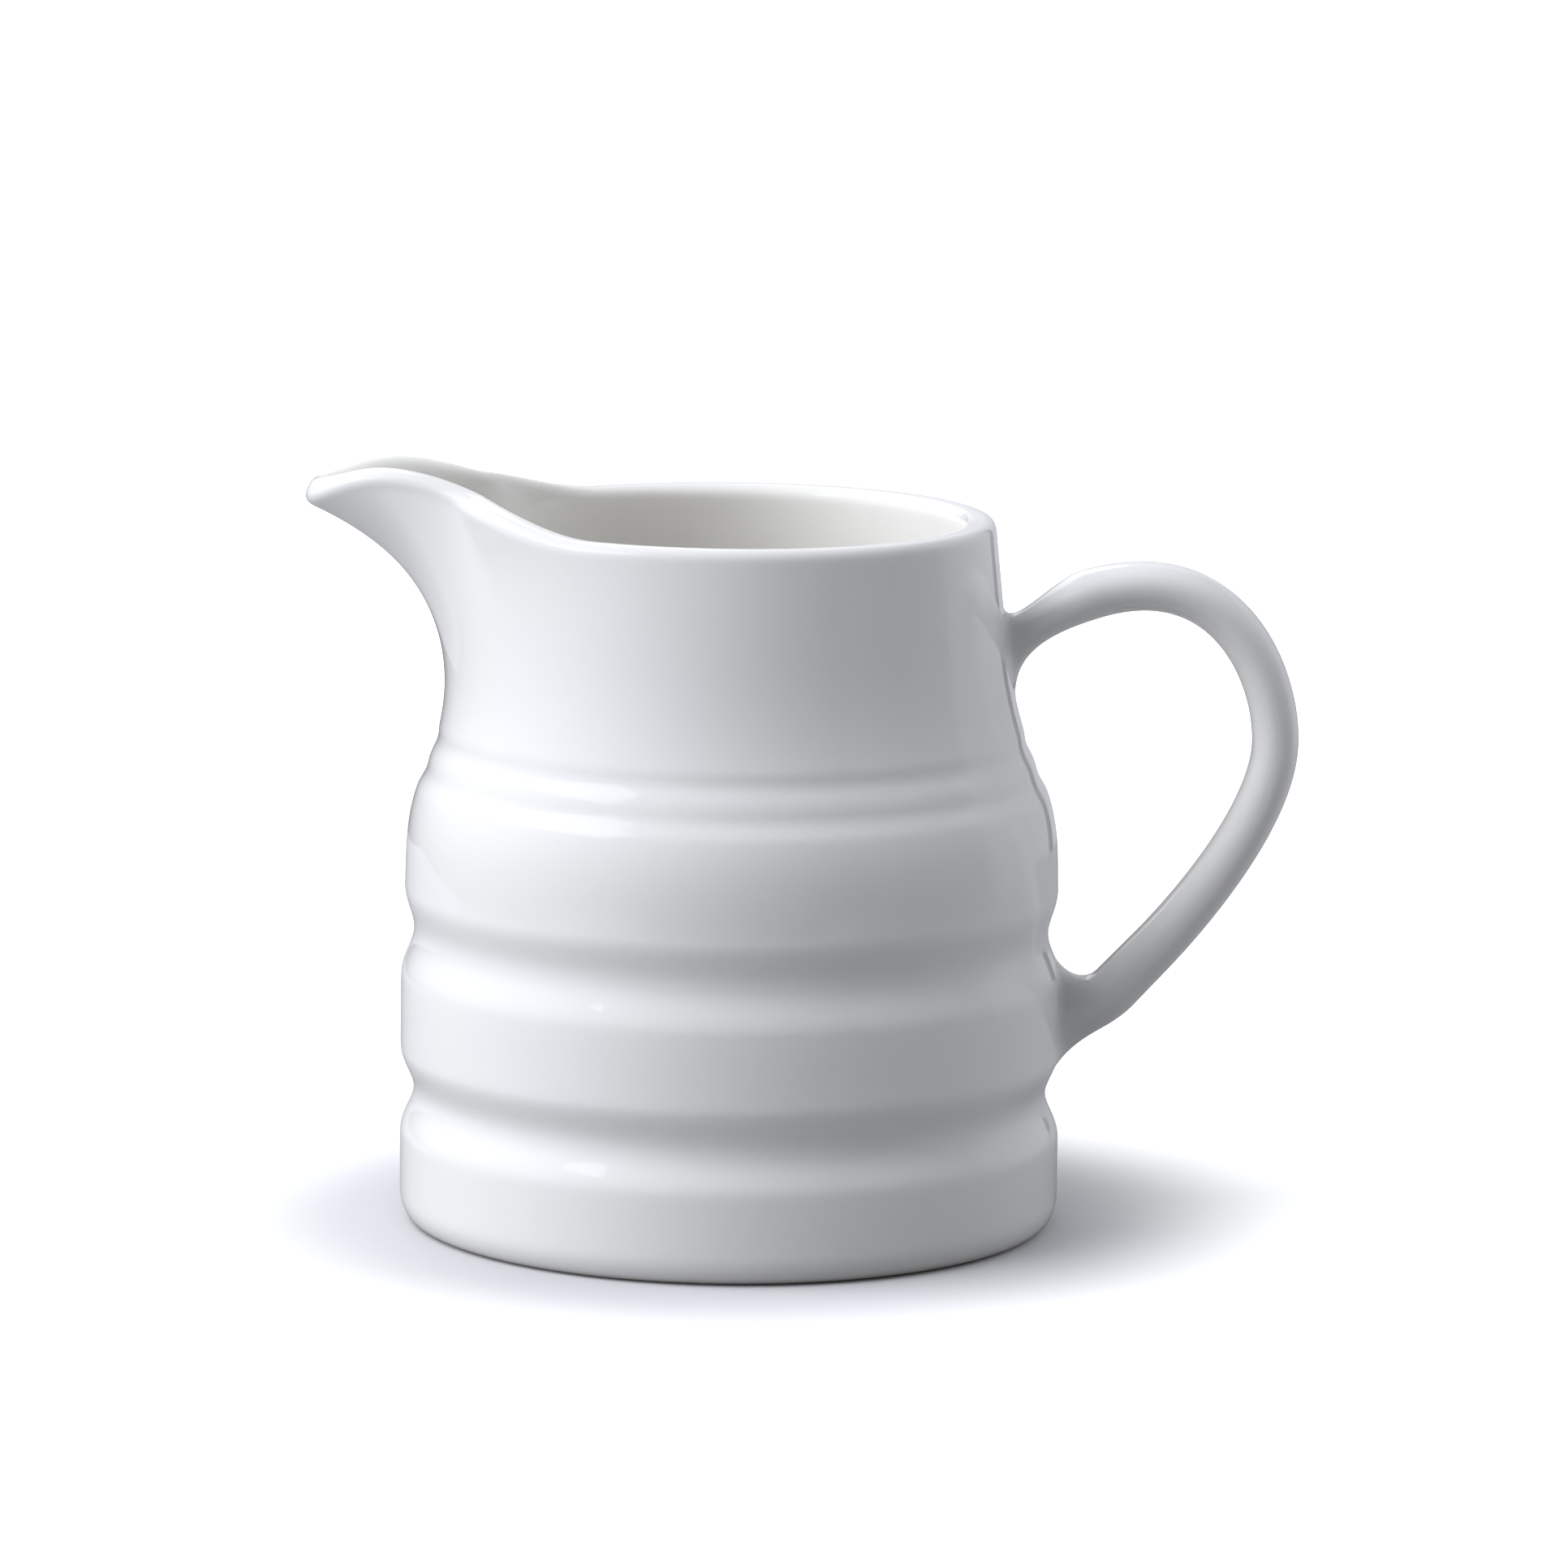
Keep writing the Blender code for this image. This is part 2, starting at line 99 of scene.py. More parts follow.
def make_camera():
    """Forward is a unit vector from the two look angles, right is level, up is right x forward, and
    the roll turns right and up about forward."""
    flat = np.cos(LOOK_DOWN)
    forward = np.array([np.sin(LOOK_RIGHT) * flat, np.cos(LOOK_RIGHT) * flat, -np.sin(LOOK_DOWN)])
    right = np.array([np.cos(LOOK_RIGHT), -np.sin(LOOK_RIGHT), 0.0])
    up = np.cross(right, forward)
    rolled_right = np.cos(CAMERA_ROLL) * right + np.sin(CAMERA_ROLL) * up
    rolled_up = np.cos(CAMERA_ROLL) * up - np.sin(CAMERA_ROLL) * right
    turned = Matrix(np.column_stack([rolled_right, rolled_up, -forward]).tolist()).to_4x4()
    data = bpy.data.cameras.new("camera")
    data.lens = LENS_MM
    data.sensor_width = SENSOR_MM
    data.clip_end = 20.0
    camera = bpy.data.objects.new("camera", data)
    place = AXIS + np.array([0.0, -CAMERA_DISTANCE, CAMERA_HEIGHT])
    camera.matrix_world = Matrix.Translation(place.tolist()) @ turned
    bpy.context.scene.collection.objects.link(camera)
    bpy.context.scene.camera = camera
    return camera


camera = make_camera()
print("camera at", [round(value, 3) for value in camera.matrix_world.translation])

# %% [markdown]
# ## The turned outline
# A thrown or cast jug starts as an outline that turns about an axis. Seven stations give its height,
# radius and slope, and a cubic Hermite curve joins each pair, so the curve never kinks where two
# stretches meet. The two wide grooves and the two fine shoulder lines are taken off that curve as
# rounded dips.

# %% Outline
FOOT_TOP = 0.0034
BODY_BAND_HEIGHT = 0.0270
TOP_BAND_HEIGHT = 0.0435
TOP_BAND_RADIUS = 0.0405
SHOULDER_HEIGHT = 0.0556
SHOULDER_RADIUS = 0.0383
NECK_HEIGHT = 0.0625
NECK_RADIUS = 0.0357
THROAT_HEIGHT = 0.0740
THROAT_RADIUS = 0.0335
RIM_HEIGHT = 0.0880
MOUTH_RADIUS = 0.0320
TOP_BAND_SLOPE = -0.02
SHOULDER_SLOPE = -0.50
NECK_SLOPE = -0.30
THROAT_SLOPE = -0.115
MOUTH_SLOPE = -0.11

STATIONS = (
    (0.0, BODY_RADIUS, 0.0),
    (BODY_BAND_HEIGHT, BODY_RADIUS, 0.0),
    (TOP_BAND_HEIGHT, TOP_BAND_RADIUS, TOP_BAND_SLOPE),
    (SHOULDER_HEIGHT, SHOULDER_RADIUS, SHOULDER_SLOPE),
    (NECK_HEIGHT, NECK_RADIUS, NECK_SLOPE),
    (THROAT_HEIGHT, THROAT_RADIUS, THROAT_SLOPE),
    (RIM_HEIGHT, MOUTH_RADIUS, MOUTH_SLOPE),
)
WIDE_GROOVES = ((0.0161, 0.00165, 0.0056), (0.0361, 0.00135, 0.0058))
FINE_LINES = ((0.0557, 0.00022, 0.0020), (0.0599, 0.00022, 0.0020))


def hermite(low, high, height):
    """With t from 0 to 1 between the stations: r = low (1 - s) + high s, with s = 3t^2 - 2t^3, plus
    each end's slope times its own cubic, t (1 - t)^2 and -t^2 (1 - t)."""
    span = high[0] - low[0]
    t = (height - low[0]) / span
    rise = t * t * (3 - 2 * t)
    slopes = low[2] * t * (1 - t) ** 2 - high[2] * t * t * (1 - t)
    return low[1] * (1 - rise) + high[1] * rise + slopes * span


def smoothed_radius(height):
    """The outline without its grooves: the Hermite stretch that each height falls in."""
    height = np.asarray(height, float)
    radius = MOUTH_RADIUS + (height - RIM_HEIGHT) * MOUTH_SLOPE
    for low, high in reversed(list(zip(STATIONS, STATIONS[1:]))):
        radius = np.where(height <= high[0], hermite(low, high, height), radius)
    return radius


def turned_radius(height):
    """The outline less each groove: depth x cos^2 of a quarter turn at the groove's reach."""
    height = np.asarray(height, float)
    radius = smoothed_radius(height)
    for centre, depth, reach in WIDE_GROOVES + FINE_LINES:
        away = np.clip(np.abs(height - centre) / reach, 0, 1)
        radius = radius - depth * np.cos(away * np.pi / 2) ** 2
    return radius


sampled = turned_radius([0.0, WIDE_GROOVES[0][0], RIM_HEIGHT])
print("radius at the foot, lower groove and rim, mm:", np.round(sampled * 1000, 2))

# %% [markdown]
# ## Pulling the spout
# A potter pulls a spout by drawing a finger outwards and up between two others that hold the rim.
# Here each point of the upper wall slides along -X. How far depends on how high it is, because the
# pull starts at the belly and turns outwards late, and on how far it lies to the side, because the
# beak is a blunt bell on a wide, low skirt.

# %% Spout
WALL = 0.0040
BEAK_WALL = 0.0037
EDGE_HEIGHT = RIM_HEIGHT - WALL / 2
SPOUT_REACH = 0.0196
SPOUT_START = 0.0430
SPOUT_GROWTH = 4.0
LIP_TURN = 9.0
LIP_TURN_SHARE = 0.38
NOSE_HALF_WIDTH = 0.0154
BEAK_HALF_WIDTH = 0.0095
BEAK_SQUARENESS = 5.0
BEAK_SHARE = 0.8
BEAK_WIDENING = 0.0260
SKIRT_HALF_WIDTH = 0.0260
SKIRT_SQUARENESS = 3.0
SKIRT_FADE = 0.35


def smooth(t):
    """3t^2 - 2t^3, held at 0 before t = 0 and at 1 after t = 1."""
    t = np.clip(t, 0, 1)
    return t * t * (3 - 2 * t)


def bell(offset, half_width, squareness):
    """exp(-|offset / half width| ^ squareness): 1 in the middle, 0 far out."""
    return np.exp(-((np.abs(offset) / half_width) ** squareness))


def pull_at(radius, angle, height):
    """Reach x share of the height x (beak bell + skirt bell). The share is a t^4 swell and a t^9
    turn, with t = 0 where the pull starts and 1 at the lip's edge."""
    t = np.clip(height - SPOUT_START, 0, None) / (EDGE_HEIGHT - SPOUT_START)
    share = (1 - LIP_TURN_SHARE) * t**SPOUT_GROWTH + LIP_TURN_SHARE * t**LIP_TURN
    sideways = radius * np.sin(angle)
    wider = np.clip(BEAK_WIDENING * (1 - t), 0, None)
    nose = bell(sideways, NOSE_HALF_WIDTH + wider, 2)
    beak = nose * bell(sideways, BEAK_HALF_WIDTH + wider, BEAK_SQUARENESS)
    skirt = bell(sideways, SKIRT_HALF_WIDTH, SKIRT_SQUARENESS)
    front = smooth(np.cos(angle) / SKIRT_FADE)
    return SPOUT_REACH * share * front * (BEAK_SHARE * beak + (1 - BEAK_SHARE) * skirt)


def bare_point(angle, height, radius_at):
    """A circle of the outline's radius, slid along -X by the pull. Angle 0 is the beak's middle."""
    radius = radius_at(height)
    x = -radius * np.cos(angle) - pull_at(radius, angle, height)
    return np.stack(np.broadcast_arrays(x, radius * np.sin(angle), height), axis=-1)


# %% [markdown]
# ## Lifting the lip
# The lip is level round most of the mouth. It climbs along the beak's two sides and drops a little
# at the tip. The rise has to be that of the lip's crest, which is what the eye follows, so how far
# the wall leans out is allowed for: a leaning wall carries its half-round lip lower and further out.

# %% Lip
SPOUT_LIFT = 0.0062
LIFT_START = 0.0175
LIFT_END = 0.0435
LIFT_WALL_START = 0.0600
TIP_DROOP = 0.0024
SMALL_STEP = 0.00002


def unit(vectors):
    return vectors / np.linalg.norm(vectors, axis=-1, keepdims=True)


def frame_of(point_at, angle, height, radius_at):
    """Central differences of the surface give the way up and the way round. Their cross product is
    the normal, which points outwards."""
    turn = SMALL_STEP / BODY_RADIUS
    up = point_at(angle, height + SMALL_STEP, radius_at) - point_at(angle, height - SMALL_STEP, radius_at)
    along = point_at(angle + turn, height, radius_at) - point_at(angle - turn, height, radius_at)
    normal = unit(np.cross(up, along))
    return point_at(angle, height, radius_at), normal, unit(np.cross(along, normal))


def wall_at(angle, height):
    """The wall's thickness: full all round, less by the beak's own share of the pull."""
    share = pull_at(turned_radius(height), angle, height) / SPOUT_REACH
    return WALL - (WALL - BEAK_WALL) * share


def lip_lift(angle):
    """Rise x smooth(crest's distance out), less a droop that grows as the square past the beak's
    root, with the height that the lip's half circle loses by leaning given back."""
    edge, normal, _ = frame_of(bare_point, angle, EDGE_HEIGHT, turned_radius)
    half_wall = wall_at(angle, EDGE_HEIGHT) / 2
    crest = half_wall * normal[..., 0] - edge[..., 0]
    rise = SPOUT_LIFT * smooth((crest - LIFT_START) / (LIFT_END - LIFT_START))
    past = np.clip(crest - LIFT_END, 0, None) / (MOUTH_RADIUS + SPOUT_REACH - LIFT_END)
    return rise - TIP_DROOP * past**2 + WALL / 2 - half_wall * (1 - normal[..., 2])


def surface_point(angle, height, radius_at):
    """The pulled wall with the lip's lift, which fades down the wall as a square."""
    lifted = np.clip(height - LIFT_WALL_START, 0, None) / (EDGE_HEIGHT - LIFT_WALL_START)
    point = bare_point(angle, height, radius_at)
    point[..., 2] += lip_lift(angle) * lifted**2
    return point


def wall_point(angle, height, depth, radius_at=turned_radius):
    """A point this deep under the outer surface, along its normal."""
    point, normal, _ = frame_of(surface_point, angle, height, radius_at)
    return point - normal * np.broadcast_to(depth, point.shape[:-1])[..., None]


tip = surface_point(np.array(0.0), np.array(EDGE_HEIGHT), turned_radius)
print("beak's edge reaches x = %.1f mm, z = %.1f mm" % tuple(tip[[0, 2]] * 1000))

# %% [markdown]
# ## From rings to a mesh
# Every piece is a stack of rings: one ring for each step up the profile or along the path. Quads join
# neighbouring rings, and a fan closes each end on a point. The same function serves the body, the
# handle and the joints. Faces wind so that they look outwards when the rings run anticlockwise about
# the way that the stack is going.

# %% Skin from rings


def ring_faces(rows, columns, flip):
    """Corner numbers of the quads: (i, j), (i, j+1), (i+1, j+1), (i+1, j), with j wrapping round."""
    row, column = np.meshgrid(np.arange(rows - 1), np.arange(columns), indexing="ij")
    after = (column + 1) % columns
    quads = [row * columns + column, row * columns + after]
    quads += [(row + 1) * columns + after, (row + 1) * columns + column]
    quads = np.stack(quads, axis=-1).reshape(-1, 4)
    return quads[:, ::-1] if flip else quads


def fan_faces(columns, first, centre, flip):
    """Triangles from one ring to its centre."""
    column = np.arange(columns)
    fan = np.stack([first + (column + 1) % columns, first + column, np.full(columns, centre)], axis=-1)
    return fan[:, ::-1] if flip else fan


def skin(name, rings, flip=False, normals=None):
    """One closed, smooth mesh through rings, an array of (rings, corners, 3), in the jug's own frame
    about its axis."""
    rows, columns, _ = rings.shape
    ends = np.stack([rings[0].mean(axis=0), rings[-1].mean(axis=0)])
    points = np.concatenate([rings.reshape(-1, 3), ends]) + AXIS
    last = (rows - 1) * columns
    faces = ring_faces(rows, columns, flip).tolist()
    faces += fan_faces(columns, 0, rows * columns, flip).tolist()
    faces += fan_faces(columns, last, rows * columns + 1, not flip).tolist()
    mesh = bpy.data.meshes.new(name)
    mesh.from_pydata(points, [], faces)
    mesh.shade_smooth()
    if normals is not None:
        caps = np.stack([normals[0].mean(axis=0), normals[-1].mean(axis=0)])
        mesh.normals_split_custom_set_from_vertices(np.concatenate([normals.reshape(-1, 3), caps]))
    piece = bpy.data.objects.new(name, mesh)
    bpy.context.scene.collection.objects.link(piece)
    print("%s: %d faces" % (name, len(faces)))
    return piece


# %% [markdown]
# ## The jug's body
# One skin runs from the middle of the underside over the foot ring, up the outer wall, over the lip,
# down the inner wall and across the floor. Its rings crowd where the surface turns quickly: in the
# grooves, at the fine lines and over the lip. Round the jug they crowd at the beak, because the
# angles are set halfway between even turns and even steps along the lip.

# %% Angles round the jug
COLUMNS = 320
FINE_TURN = 4096


def round_angles(count):
    """Invert (share of the turn + share of the lip's length) / 2 at even steps."""
    angle = np.linspace(0, 2 * np.pi, FINE_TURN + 1)
    lip = surface_point(angle, np.full_like(angle, EDGE_HEIGHT), turned_radius)
    travelled = np.concatenate([[0], np.cumsum(np.linalg.norm(np.diff(lip, axis=0), axis=1))])
    mixed = (angle / angle[-1] + travelled / travelled[-1]) / 2
    return np.interp(np.arange(count) / count, mixed, angle)


angles = round_angles(COLUMNS)
turns = np.degrees(np.diff(angles))
print("narrowest and widest step round, degrees:", np.round([turns.min(), turns.max()], 2))

# %% [markdown]
# ## The profile, ring by ring
# The jug stands on a narrow foot ring, with the underside hollowed so that it can't rock. The lip is
# rounded a little squarer than a half circle. Inside, the wall runs down to the floor through a
# rounded corner. The shallow grooves are left out there.

# %% Foot, floor and the profile's rings
FOOT_EDGE = 0.0019
FOOT_RING_WIDTH = 0.0026
FOOT_RECESS = 0.0018
FOOT_SOFTNESS = 0.0004
RECESS_RUN = 0.0016
FIRST_RING = 0.0020
FLOOR = 0.0042
FLOOR_CORNER = 0.0060
LIP_SQUARENESS = 2.7
SHOULDER_FOOT = 0.0530
THROAT_END = 0.0800
INNER_THROAT = 0.0760
INNER_SHOULDER = 0.0560


def level_rings(radius, height):
    """Circles of these radii at these heights, one ring for each pair."""
    x = -radius[:, None] * np.cos(angles)
    y = radius[:, None] * np.sin(angles)
    return np.stack([x, y, np.broadcast_to(height[:, None], x.shape)], axis=-1)


def steps(*stops):
    """Evenly spaced values from each stop to the next, given as value, count, value, count, value."""
    runs = [
        np.linspace(stops[i], stops[i + 2], stops[i + 1], endpoint=False)
        for i in range(0, len(stops) - 2, 2)
    ]
    return np.concatenate(runs + [[stops[-1]]])


def foot_rings():
    """Out across the recess, down a soft S to the ring's flat, and round its outer quarter ellipse:
    r = flat + edge sin(turn), z = top (1 - cos(turn))."""
    flat_outer = BODY_RADIUS - FOOT_EDGE
    flat_inner = flat_outer - FOOT_RING_WIDTH
    across = steps(FIRST_RING, 5, flat_inner - RECESS_RUN, 8, flat_inner)
    under = FOOT_RECESS * (1 - smooth((across - flat_inner + RECESS_RUN) / RECESS_RUN))
    turn = np.linspace(0, np.pi / 2, 13)[:-1]
    edge = flat_outer + FOOT_EDGE * np.sin(turn)
    radius = np.concatenate([across, [flat_inner + FOOT_SOFTNESS], edge])
    height = np.concatenate([under, [0.0], FOOT_TOP * (1 - np.cos(turn))])
    return level_rings(radius, height)


def power(value, exponent):
    """|value|^exponent with the value's sign."""
    return np.sign(value) * np.abs(value) ** exponent


def lip_rings():
    """Half a superellipse over the lip: edge + half wall (normal (c - 1) + up s), where c and s are
    the cosine and sine to the power 2 / squareness, for half a turn."""
    edge, normal, up = frame_of(surface_point, angles, EDGE_HEIGHT, turned_radius)
    half_wall = (wall_at(angles, EDGE_HEIGHT) / 2)[:, None]
    turn = np.linspace(0, np.pi, 33)[1:-1, None, None]
    c = power(np.cos(turn), 2 / LIP_SQUARENESS)
    s = power(np.sin(turn), 2 / LIP_SQUARENESS)
    return edge + half_wall * (normal * (c - 1) + up * s)


def body_rings():
    """The whole profile's rings, and for each of them how far it is inside: 0 outside, 1 inside."""
    low_groove, high_groove = WIDE_GROOVES
    outer = steps(
        FOOT_TOP, 7, low_groove[0] - low_groove[2], 26, low_groove[0] + low_groove[2],
        10, high_groove[0] - high_groove[2], 26, high_groove[0] + high_groove[2],
        14, SHOULDER_FOOT, 30, NECK_HEIGHT, 26, THROAT_END, 18, EDGE_HEIGHT,
    )
    corner = FOOT_RECESS + FLOOR + FLOOR_CORNER
    inner = steps(EDGE_HEIGHT, 24, INNER_THROAT, 20, INNER_SHOULDER, 8, corner)
    turn = np.linspace(0, np.pi / 2, 13)[1:]
    corner_radius = smoothed_radius(corner) - WALL - FLOOR_CORNER * (1 - np.cos(turn))
    floor_radius = corner_radius[-1] * np.array([0.66, 0.33, 0.06])
    floor = level_rings(
        np.concatenate([corner_radius, floor_radius]),
        np.concatenate([corner - FLOOR_CORNER * np.sin(turn), np.full(3, corner - FLOOR_CORNER)]),
    )
    outside = np.concatenate([foot_rings(), surface_point(angles[None, :], outer[:, None], turned_radius)])
    lip = lip_rings()
    thickness = wall_at(angles[None, :], inner[:, None])
    inside = wall_point(angles[None, :], inner[:, None], thickness, smoothed_radius)
    over_lip = smooth(np.linspace(0, 1, len(lip)))
    depth = np.concatenate([np.zeros(len(outside)), over_lip, np.ones(len(inside) + len(floor))])
    return np.concatenate([outside, lip, inside, floor]), depth


def tell(piece, name, per_ring, columns):
    """Store one number for each ring as a point attribute; the two end points take their ring's."""
    values = np.concatenate([np.repeat(per_ring, columns), per_ring[[0, -1]]])
    stored = piece.data.attributes.new(name, "FLOAT", "POINT")
    stored.data.foreach_set("value", values.astype(np.float32))


rings, ring_depth = body_rings()
body = skin("porcelain_body", rings, flip=True)
tell(body, "inside", ring_depth, COLUMNS)
print("triangles:", sum(len(face.vertices) - 2 for face in body.data.polygons))

# %% [markdown]
# ## The handle's line
# The handle is cast by itself in a two-part mould, so one line can stand for it: out of the neck,
# over a shoulder, down past the belly and straight back into the body's side. Two Bezier curves and a
# straight run draw that line, and everything on the handle is placed by the distance along it.

# %% The line
HANDLE_WIDTH = 0.0084
ROOT_THICKNESS = 0.0066
HANDLE_THICKNESS = 0.0058
HANDLE_SQUARENESS = 2.1
HANDLE_STANDOFF = 0.0261
BELLY_DROP = 0.0275
BELLY_RISE = 0.0105
BELLY_FALL = 0.0092
UPPER_ROOT = 0.0734
UPPER_ANGLE = np.radians(33.8)
UPPER_PULL = 0.0290
LOWER_ROOT = 0.0220
LOWER_ANGLE = np.radians(46.8)
LOWER_RUN = 0.0162
LOWER_PULL = 0.0069
LINE_POINTS = 1500


def bezier(corners, t):
    """a (1-t)^3 + 3 b t (1-t)^2 + 3 c t^2 (1-t) + d t^3. The corners may be arrays of points."""
    a, b, c, d = corners
    return a * (1 - t) ** 3 + b * 3 * t * (1 - t) ** 2 + c * 3 * t * t * (1 - t) + d * t**3


def handle_line():
    """Points along the centre line, and the distance to each of them."""
    upper = np.array([turned_radius(UPPER_ROOT), 0.0, UPPER_ROOT])
    upper_way = np.array([np.cos(UPPER_ANGLE), 0.0, np.sin(UPPER_ANGLE)])
    belly = np.array([BODY_RADIUS + HANDLE_STANDOFF, 0.0, RIM_HEIGHT - BELLY_DROP])
    rise, fall = np.array([0.0, 0.0, BELLY_RISE]), np.array([0.0, 0.0, BELLY_FALL])
    lower = np.array([turned_radius(LOWER_ROOT), 0.0, LOWER_ROOT])
    lower_way = np.array([np.cos(LOWER_ANGLE), 0.0, np.sin(LOWER_ANGLE)])
    straight = lower + lower_way * LOWER_RUN
    t = np.linspace(0, 1, LINE_POINTS)[:, None]
    arch = bezier((upper, upper + upper_way * UPPER_PULL, belly + rise, belly), t)
    back = bezier((belly, belly - fall, straight + lower_way * LOWER_PULL, straight), t[1:])
    run = straight + (lower - straight) * t[1:]
    line = np.concatenate([arch, back, run])
    travelled = np.concatenate([[0], np.cumsum(np.linalg.norm(np.diff(line, axis=0), axis=1))])
    return line, travelled


line, travelled = handle_line()
LINE_LENGTH = travelled[-1]
print("the handle's line is %.1f mm long" % (LINE_LENGTH * 1000))

# %% [markdown]
# ## The handle's section
# Its section is a rounded strap: a superellipse, a little squarer than an ellipse, thickest at the two
# roots. Carried along the line it makes the handle.

# %% Section
CORNERS = 72
corner_turn = np.arange(CORNERS) * 2 * np.pi / CORNERS


def line_at(distance):
    """The point and the way on at each distance, read off the line."""
    ways = np.gradient(line, travelled, axis=0)
    point = np.stack([np.interp(distance, travelled, line[:, i]) for i in range(3)], axis=-1)
    way = np.stack([np.interp(distance, travelled, ways[:, i]) for i in range(3)], axis=-1)
    return point, unit(way)


def sections(distance):
    """Centre + across x half width x cos^(2/n) + out x half thickness x sin^(2/n)."""
    centre, way = line_at(distance)
    across = np.array([0.0, 1.0, 0.0])
    out = np.cross(way, across)
    share = 2 * distance / LINE_LENGTH - 1
    half = (HANDLE_THICKNESS + (ROOT_THICKNESS - HANDLE_THICKNESS) * share**2) / 2
    c = power(np.cos(corner_turn), 2 / HANDLE_SQUARENESS)[None, :, None]
    s = power(np.sin(corner_turn), 2 / HANDLE_SQUARENESS)[None, :, None]
    return centre[:, None] + across * HANDLE_WIDTH / 2 * c + out[:, None] * half[:, None, None] * s


# %% [markdown]
# ## The slip joints
# A handle is stuck on with slip, and the potter wipes the slip into a fillet with a wet finger. Each
# line of the fillet leaves the handle along it and bends over to lie along the wall, so the light
# runs from the one to the other without a break. The last ring goes a hair under the wall's surface.

# %% Fillets
UPPER_JOINT = 0.0115
LOWER_JOINT = 0.0100
FILLET_STEPS = 40
UNDER_WALL = 0.00006
UPPER_PATCH = (UPPER_ROOT, 0.0042, 0.0092, 0.0054)
LOWER_PATCH = (LOWER_ROOT, 0.0120, 0.0061, 0.0052)


def patch_ring(patch, share, depth):
    """On the wall, opened out: an egg of this half width, rise and fall about the root's height."""
    height, rise, fall, half_width = patch
    up = np.sin(corner_turn)
    level = height + share * up * np.where(up > 0, rise, fall)
    angle = np.pi - half_width * share * np.cos(corner_turn) / turned_radius(level)
    return wall_point(angle, level, depth)


def fillet(patch, end, way, leave, arrive):
    """A cubic Bezier for each corner: away from the handle's end by leave x the gap, and on to the
    wall along its surface by arrive x the gap. The array runs from the handle to the wall."""
    edge = patch_ring(patch, 1.0, UNDER_WALL)
    spread = unit(edge - patch_ring(patch, 0.97, UNDER_WALL))
    gap = np.linalg.norm(edge - end, axis=-1, keepdims=True)
    t = np.linspace(0, 1, FILLET_STEPS + 1)[:, None, None]
    return bezier((end, end + way * gap * leave, edge - spread * gap * arrive, edge), t)


def handle_rings():
    """One stack of rings, from the wall under the upper root round to the wall at the lower root."""
    first, last = UPPER_JOINT, LINE_LENGTH - LOWER_JOINT
    shaft = sections(np.linspace(first, last, 221))
    _, way = line_at(np.array([first, last]))
    upper = fillet(UPPER_PATCH, shaft[0], -way[0], 0.42, 0.45)
    flip = -np.arange(CORNERS) % CORNERS
    lower = fillet(LOWER_PATCH, shaft[-1][flip], way[1], 0.42, 0.45)[:, flip]
    return upper[::-1], shaft, lower


upper_rings, shaft_rings, lower_rings = handle_rings()
print("rings in the two fillets and the shaft:", len(upper_rings), len(lower_rings), len(shaft_rings))

# %% [markdown]
# The three pieces meet on shared rings. Their normals are worked out over the whole stack before it
# is cut, so the glaze's reflection crosses each join in one sweep, as it does on a fired handle.

# %% Handle and joints


def stack_normals(rings):
    """The cross product of the differences along the stack and round each ring."""
    up = np.gradient(rings, axis=0)
    along = np.roll(rings, -1, axis=1) - np.roll(rings, 1, axis=1)
    return unit(np.cross(along, up))


stack = np.concatenate([upper_rings, shaft_rings[1:-1], lower_rings])
stack_out = stack_normals(stack)
joins = (len(upper_rings) - 1, len(upper_rings) + len(shaft_rings) - 2)
cuts = {
    "slip_upper_fillet": slice(0, joins[0] + 1),
    "porcelain_handle": slice(joins[0], joins[1] + 1),
    "slip_lower_fillet": slice(joins[1], None),
}
limbs = {name: skin(name, stack[cut], False, stack_out[cut]) for name, cut in cuts.items()}

# %% [markdown]
# ## A shorthand for shader maths
# A glaze's colour is a sum of small things: where it pools, where it thins, a few specks. Such sums
# read best as Python, so one small class wraps a socket and turns +, - and * into Math nodes. Any
# other node comes from Finish.node, which sets the node's settings first and its sockets after.

# %% Shader shorthand


class Wire:
    """One value in a material. Arithmetic on it adds Math nodes to the same material."""

    def __init__(self, finish, socket):
        self.finish = finish
        self.socket = socket

    def maths(self, operation, *values):
        return self.finish.node("ShaderNodeMath", {"operation": operation}, *values)

    def __add__(self, other):
        return self.maths("ADD", self, other)

    def __sub__(self, other):
        return self.maths("SUBTRACT", self, other)

    def __rsub__(self, other):
        return self.maths("SUBTRACT", other, self)

    def __mul__(self, other):
        return self.maths("MULTIPLY", self, other)

    __radd__ = __add__
    __rmul__ = __mul__

    def between(self, low, high):
        """A smooth ramp: 0 at or under low, 1 at or over high. Low may be the larger."""
        settings = {"interpolation_type": "SMOOTHSTEP"}
        return self.finish.node("ShaderNodeMapRange", settings, self, low, high, 0.0, 1.0)


